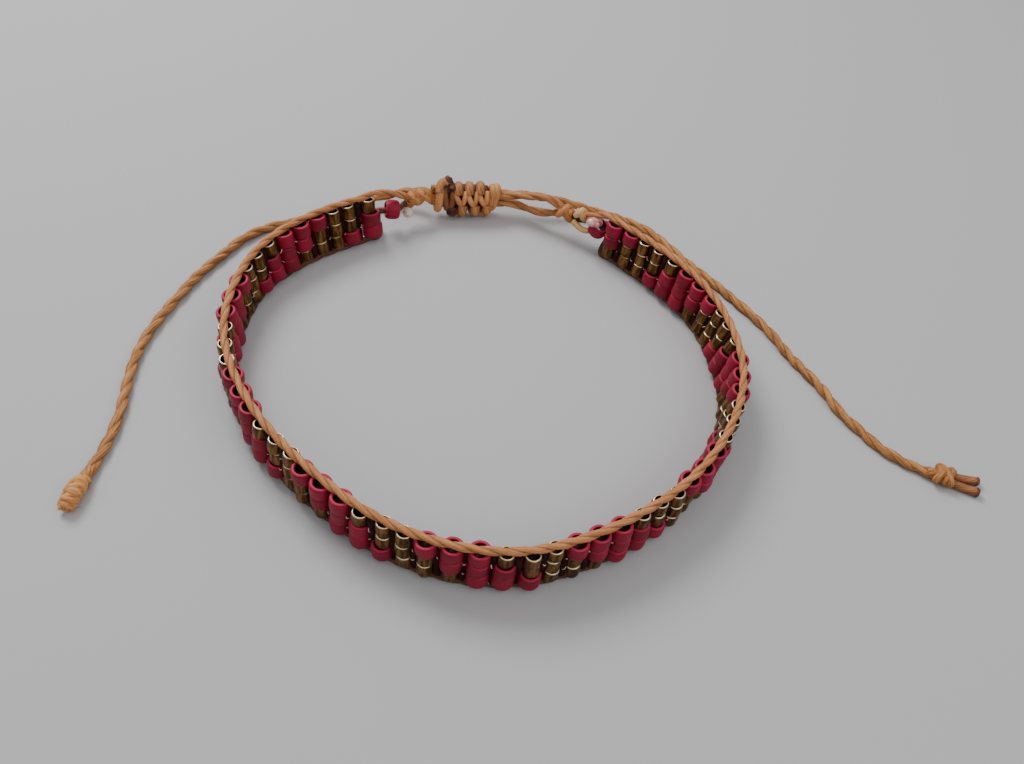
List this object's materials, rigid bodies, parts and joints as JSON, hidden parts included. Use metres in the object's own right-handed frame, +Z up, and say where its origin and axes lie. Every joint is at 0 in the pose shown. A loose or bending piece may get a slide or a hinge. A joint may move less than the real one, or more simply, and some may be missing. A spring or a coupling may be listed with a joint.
{
  "type": "beaded bracelet",
  "caption": "Bracelet: three-high columns of red and gold beads sewn between two cords, standing on edge, with a sliding square-knot closure and two knotted pull cords",
  "frame": {"origin": "on the floor under the middle of the loop: bottom centre of the box of all but the free pull cords", "axes": "+Z up from the floor, -Y towards the front of the loop and the viewer, +Y towards the closure, +X to the viewer's right"},
  "size_m": [0.0894, 0.0559, 0.0062],
  "materials": {
    "beads": "matte red glass beads and bronze metal beads in turn; one solid here, dressed apart in the visual model",
    "red_bead": "opaque red, satin",
    "waxed_cord": "waxed light brown",
    "tan_thread": "waxed tan",
    "twisted_cord": "two-strand twist, waxed",
    "burnt_cord": "singed dark brown",
    "clear_glue": "clear, glossy"
  },
  "bodies": {
    "root": {"bead_band": "beads", "left_end_bead": "red_bead", "right_end_bead": "red_bead", "upper_edge_cord": "waxed_cord", "lower_edge_cord": "waxed_cord", "left_end_knot": "waxed_cord", "right_end_knot": "waxed_cord", "right_tan_knot": "tan_thread", "left_glue_drop": "clear_glue", "right_glue_drop": "clear_glue", "upper_closure_cord": "waxed_cord", "lower_closure_cord": "waxed_cord", "sliding_knot": "waxed_cord", "left_tail": "twisted_cord", "right_tail": "twisted_cord", "left_tail_knot": "twisted_cord", "right_tail_knot": "twisted_cord", "right_tail_end_upper": "burnt_cord", "right_tail_end_lower": "burnt_cord"}
  },
  "joints": []
}
